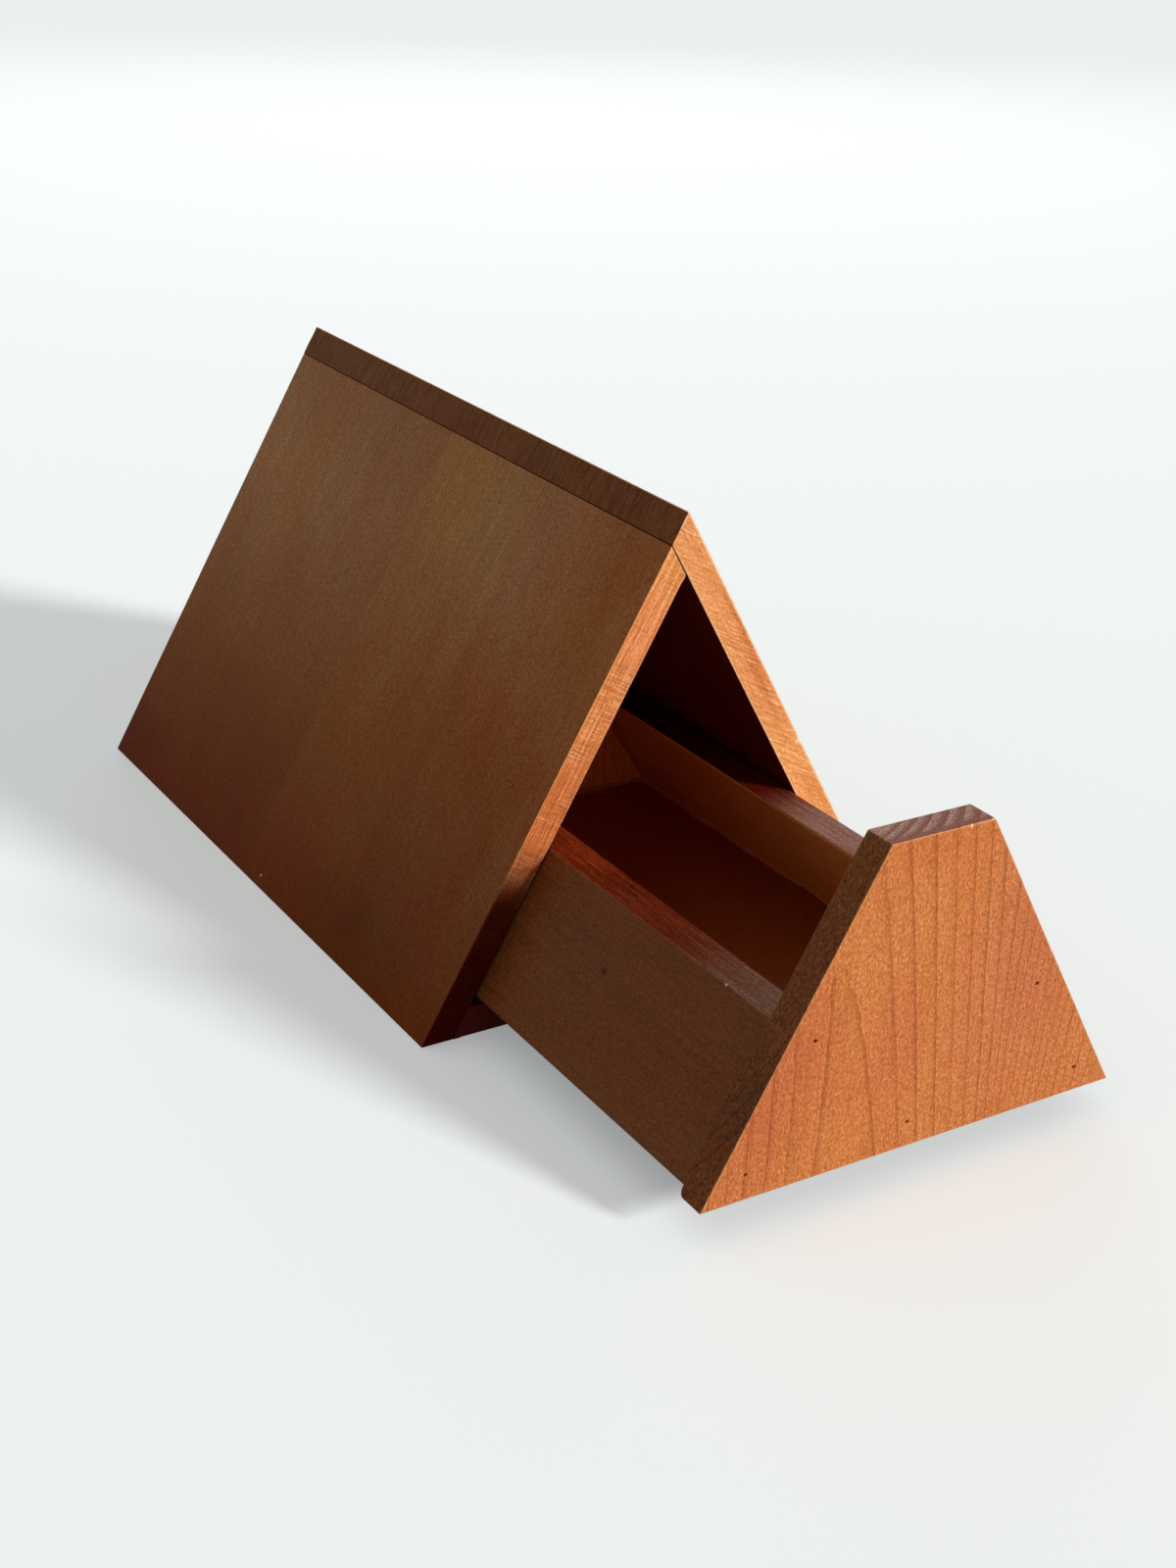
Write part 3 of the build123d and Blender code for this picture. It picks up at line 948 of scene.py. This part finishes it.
makeBoard("bottomBoard", "case", "bottom_board", dict(
    wholeLength, finish=["footWood"] * 4, section=levelSection(tunnelHalf, 0, boardHigh.z),
    step=steps, ease=0.4 * mm, seed=7,
    glued=[lambda p, s: (p[:, 0] < 2 * mm) | (p[:, 0] > s[0] - 2 * mm)],
))
# The rear board narrows with the tunnel, nearly to a point.
makeBoard("backPanel", "case", "back_panel", dict(
    mouth=rearLow.y, rear=rearHigh.y, finish=("backEnd", "backEnd", "backEnd", "rearWood"),
    section=levelSection(
        lambda z: max(tunnelHalf(z), 0.3 * mm), boardHigh.z, innerRidge[1] - 0.5 * mm
    ),
    step=(4 * mm, 4 * mm, 3 * mm), ease=0.2 * mm, seed=9,
))


# Middle of each brad's blunt end, from the group's separate shanks.
def bradPlaces(node, end):
    flush, across = 0.05 * mm, 3 * mm   # what counts as the blunt end, and as one brad
    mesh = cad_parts[node].data
    count = len(mesh.vertices)
    corners = np.empty(count * 3)
    mesh.vertices.foreach_get("co", corners)
    corners = corners.reshape(-1, 3)
    low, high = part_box(node)
    blunt = low.y if end < 0 else high.y
    rim = corners[np.abs(corners[:, 1] - blunt) < flush][:, [0, 2]]
    places = []
    while len(rim):
        near = np.linalg.norm(rim - rim[0], axis=1) < across
        places.append(tuple((rim[near].min(axis=0) + rim[near].max(axis=0)) / 2))
        rim = rim[~near]
    return places


# Boards of the drawer.
makeBoard("drawerFront", "drawer", "drawer_front", dict(
    mouth=frontLow.y, rear=frontHigh.y, finish=("frontEdge", "frontEnd", "frontEnd", "frontFace"),
    section=levelSection(drawerHalf, frontLow.z, frontHigh.z),
    step=(2.5 * mm, 3 * mm, 1.5 * mm), ease=0.5 * mm, seed=11, roundover=2.2 * mm,
    punches=bradPlaces("front_brads", -1), punchedEnd=-1,
    glued=[lambda p, s: (p[:, 2] > s[2] - 2 * mm) & (p[:, 1] > 2.6 * mm) & (p[:, 1] < 43.6 * mm)],
    knocks=[
        {"at": (8.7, -237, 98.7), "reach": (0.5, 0.6, 1.0), "depth": 0.3},
        {"at": (15.8, -236.9, 98.9), "reach": (1.1, 0.6, 0.5), "depth": 0.35},
    ],
))
makeBoard("drawerBack", "drawer", "drawer_back", dict(
    mouth=backLow.y, rear=backHigh.y, finish=("backWood", "backEnd", "backEnd", "backWood"),
    section=levelSection(drawerHalf, backLow.z, backHigh.z),
    step=(3 * mm, 3 * mm, 2 * mm), ease=0.5 * mm, seed=13,
    punches=bradPlaces("rear_brads", 1), punchedEnd=1,
))

betweenEnds = {"mouth": frontHigh.y, "rear": backLow.y}
sideKnocks = [
    {"at": (-50.7, -164.2, 37.7), "reach": (1.1, 1.3, 1.0), "depth": 0.3, "shows": "hole"},
    {"at": (-41.8, -208, 53.4), "reach": (0.6, 0.6, 0.8), "depth": 0.25},
]
for hand, word in ((-1, "left"), (1, "right")):
    wood = word + "Side"
    makeBoard("drawerSide" + word.title(), "drawer", "drawer_side_" + word, dict(
        betweenEnds, finish=(wood + "Top", wood + "Inside", wood + "Wood", wood + "Wood"),
        section=[
            (hand * bayHalf(sideLow.z), sideLow.z), (hand * bayHalf(sideHigh.z), sideHigh.z),
            (hand * drawerHalf(sideHigh.z), sideHigh.z), (hand * drawerHalf(sideLow.z), sideLow.z),
        ],
        step=(3 * mm, 3 * mm, 5 * mm), ease=0.5 * mm, seed=15 + hand,
        glued=[
            lambda p, s: (p[:, 2] < 2 * mm) | (p[:, 2] > s[2] - 2 * mm),
            lambda p, s: (p[:, 0] < 2 * mm) & (p[:, 1] < s[1] / 2),
        ],
        knocks=sideKnocks if hand < 0 else (),
    ))
makeBoard("drawerFloor", "drawer", "drawer_floor", dict(
    betweenEnds, finish=["floorWood"] * 4, section=levelSection(bayHalf, floorLow.z, floorHigh.z),
    step=(4 * mm, 3 * mm, 5 * mm), ease=0.1 * mm, seed=21,
))


# Glue and varnish run into the corners of the drawer.
bead = {
    "size": 2.3 * mm,
    "thinnest": 0.25 * mm,
    "uneven": 0.35,
    "wave": 30 * mm,     # how slowly the size changes
    "step": 1.5 * mm,
    "turns": 7,          # points of the hollow
    "sink": 0.12 * mm,
    "below": 1.5 * mm,   # the upright ones end this far below the sides' top
}


# A hollow fillet: a corner and a quarter circle curving towards it, carried from one point
# to another, swelling and shrinking, and sunk a little into both boards.
def makeBead(name, start, end, first, second, seed):
    start, end = np.array(start, float), np.array(end, float)
    first, second = np.array(first, float), np.array(second, float)
    length = np.linalg.norm(end - start)
    count = int(length / bead["step"]) + 2
    way = np.linspace(0, 1, count)
    line = start + np.outer(way, end - start)
    size = bead["size"] * (1 + bead["uneven"] * drift(line, seed, bead["wave"]))
    size = np.maximum(size, bead["thinnest"])
    turn = np.linspace(0, np.pi / 2, bead["turns"])
    reach = np.concatenate([[0], 1 - np.sin(turn)])
    rise = np.concatenate([[0], 1 - np.cos(turn)])
    profile = np.outer(reach, first) + np.outer(rise, second)
    sunk = line - bead["sink"] * (first + second)
    ring = sunk[:, None] + size[:, None, None] * profile
    sides = len(reach)
    index = np.arange(count * sides).reshape(count, sides)
    here, there = index[:-1], index[1:]
    quads = np.stack([here, there, np.roll(there, -1, 1), np.roll(here, -1, 1)], axis=-1)
    mesh = bpy.data.meshes.new(name)
    caps = [index[0].tolist(), index[-1][::-1].tolist()]
    mesh.from_pydata(ring.reshape(-1, 3), [], quads.reshape(-1, 4).tolist() + caps)
    mesh.materials.append(beadWood)
    mesh.shade_smooth()
    shape = bmesh.new()
    shape.from_mesh(mesh)
    bmesh.ops.recalc_face_normals(shape, faces=shape.faces)
    shape.to_mesh(mesh)
    shape.free()
    piece = addObject(name, mesh)
    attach(piece, "drawer")


beadTones = tinted((180, 98, 48), (170, 88, 42), (180, 94, 44))
beadLook = dict(insideLook, paintedLight=None, coat=0.6)
beadWood = makeWood("beadVarnish", sideCutRight, beadTones, beadLook)
drawerEnds = (("Front", frontHigh.y, (0, 1, 0)), ("Rear", backLow.y, (0, -1, 0)))
postTop = sideHigh.z - bead["below"]
corner = bayHalf(floorHigh.z)
for hand, name in ((-1, "Left"), (1, "Right")):
    wallUp = (-hand * cos(slope), 0, sin(slope))
    level = (-hand, 0, 0)
    foot = hand * corner
    top = hand * bayHalf(postTop)
    makeBead("floorBead" + name, (foot, frontHigh.y, floorHigh.z), (foot, backLow.y, floorHigh.z),
             level, wallUp, 31 + hand)
    for label, end, inward in drawerEnds:
        makeBead(f"post{label}{name}", (foot, end, floorHigh.z), (top, end, postTop),
                 level, inward, 41 + hand)
for label, end, inward in drawerEnds:
    makeBead("crossBead" + label, (-corner, end, floorHigh.z), (corner, end, floorHigh.z),
             (0, 0, 1), inward, 51)


steel = {
    "clean": stain(96, 92, 88),
    "rusty": stain(70, 42, 28),
    "specks": (2500,) * 3,   # about 0.4 mm
}


# Nail steel, specked with rust where a cloud is thick.
def makeSteel():
    material, tree, shader = newMaterial("punchedSteel")
    rust = spread(clouds(objectPlace(tree), steel["specks"], 3, 0.6), 0.45, 0.65)
    fill(shader, {
        "Base Color": blend(rust, steel["clean"], steel["rusty"]),
        "Roughness": spread(rust, 0, 1, 0.45, 0.8),
        "Metallic": 0.8,
    })
    return material


punchedSteel = makeSteel()
for node in ("front_brads", "rear_brads"):
    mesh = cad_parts[node].data
    mesh.materials.clear()
    mesh.materials.append(punchedSteel)


ground = {
    "seen": stain(232, 238, 240),
    "bounce": stain(98, 68, 44),   # what it throws back on the object
    "glow": 0.32,
    "reach": 6,
}


# 1 for what the camera sees, straight or by gloss or through glass, and 0 for soft bounce.
def seenDirectly(tree):
    path = put("LightPath", {}, tree=tree).node
    seen = maths("MAXIMUM", path.outputs["Is Camera Ray"], path.outputs["Is Glossy Ray"])
    return maths("MAXIMUM", seen, path.outputs["Is Transmission Ray"])


# A wide level square: pale to the eye, and of the bounce's colour to the object.
def makeFloor():
    reach = ground["reach"]
    corners = [(-reach, -reach, 0), (reach, -reach, 0), (reach, reach, 0), (-reach, reach, 0)]
    mesh = bpy.data.meshes.new("floor")
    mesh.from_pydata(corners, [], [(0, 1, 2, 3)])
    floor = addObject("floor", mesh)
    material, tree, shader = newMaterial("paleFloor")
    seen = seenDirectly(tree)
    fill(shader, {
        "Base Color": blend(seen, ground["bounce"], ground["seen"]),
        "Emission Color": ground["seen"],
        "Emission Strength": product(seen, ground["glow"]),
        "Roughness": 1.0,
        "Specular IOR Level": 0.0,
    })
    mesh.materials.append(material)


room = {
    "low": stain(32, 28, 24),       # towards the viewer and below
    "high": stain(176, 174, 168),   # towards the left and above
    "towards": (-0.5, 0.35, 0.79),
}


# The room's light: brighter the nearer a direction is to the window's side.
def makeWorld():
    world = bpy.data.worlds.new("room")
    bpy.context.scene.world = world
    world.use_nodes = True
    tree = world.node_tree
    side = vectors("DOT_PRODUCT", objectPlace(tree), room["towards"], out=1)
    colour = blend(spread(side, -0.6, 0.9), room["low"], room["high"])
    colour = blend(seenDirectly(tree), colour, ground["seen"])
    fill(tree.nodes["Background"], {"Color": colour})


lamps = {
    "key": {
        "kind": "SUN", "place": (0.45, -0.82, 0.37), "aim": (0, 0, 0),
        "settings": {"energy": 3.2, "angle": radians(9), "color": (1.0, 0.97, 0.93)},
    },
    "softbox": {
        "kind": "AREA", "place": (0.95, 1.55, 0.95), "aim": (0, 0, 0.1),
        "settings": {
            "energy": 3.8, "color": (0.97, 0.98, 1.0),
            "shape": "RECTANGLE", "size": 1.1, "size_y": 0.7,
        },
    },
}


# The key is like the sun, from the front right. The softbox is broad, behind and to the
# right, and gives the upward faces their sheen. Each shines from its place to its aim.
def makeLamp(name, kind, place, aim, settings):
    lamp = bpy.data.lights.new(name, kind)
    for label, value in settings.items():
        setattr(lamp, label, value)
    source = addObject(name, lamp)
    source.location = place
    away = Vector(place) - Vector(aim)
    source.rotation_euler = away.to_track_quat("Z", "Y").to_euler()


makeFloor()
makeWorld()
for name, lamp in lamps.items():
    makeLamp(name, **lamp)
bpy.context.scene.view_settings.view_transform = "Standard"
print("floor and light set")
